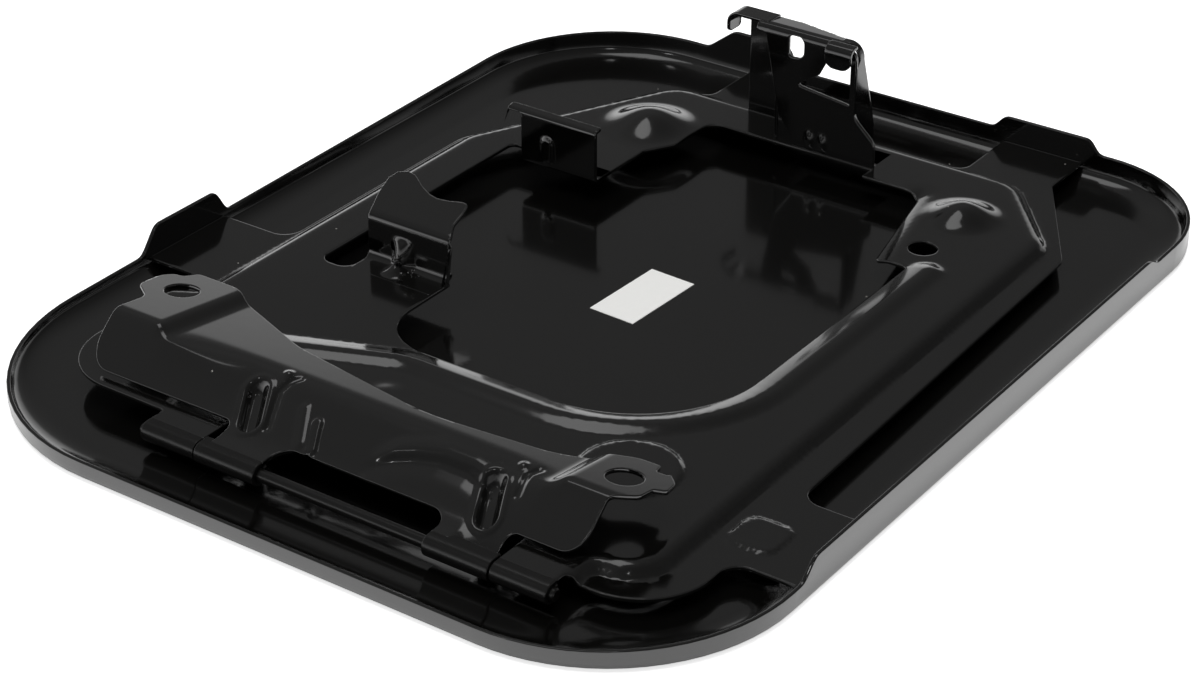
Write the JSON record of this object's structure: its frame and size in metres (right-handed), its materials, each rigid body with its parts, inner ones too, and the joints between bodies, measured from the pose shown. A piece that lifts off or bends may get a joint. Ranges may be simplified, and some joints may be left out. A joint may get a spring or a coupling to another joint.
{
  "type": "car fuel door",
  "caption": "Painted steel fuel filler door lying on its skin, with a stamped inner panel, cap clips, latch striker and a hinge bracket on a pin.",
  "frame": {"origin": "middle of the skin's outer face, which the door lies on", "axes": "+X along the hinge side, +Y from the hinge to the latch, +Z from the skin to the inner panel"},
  "size_m": [0.165, 0.207, 0.0319],
  "materials": {
    "black_paint": "gloss",
    "label_paper": "matte"
  },
  "bodies": {
    "door": {"outer_panel": "black_paint", "inner_panel": "black_paint", "hinge_pin": "black_paint", "blank_label": "label_paper"},
    "bracket": {"hinge_bracket": "black_paint"}
  },
  "joints": [
    {"name": "bracket_hinge", "type": "hinge", "parent": "door", "child": "bracket", "pos_m": [0.0068, -0.089, 0.00425], "axis": [1, 0, 0], "range_deg": [0, 95]}
  ]
}
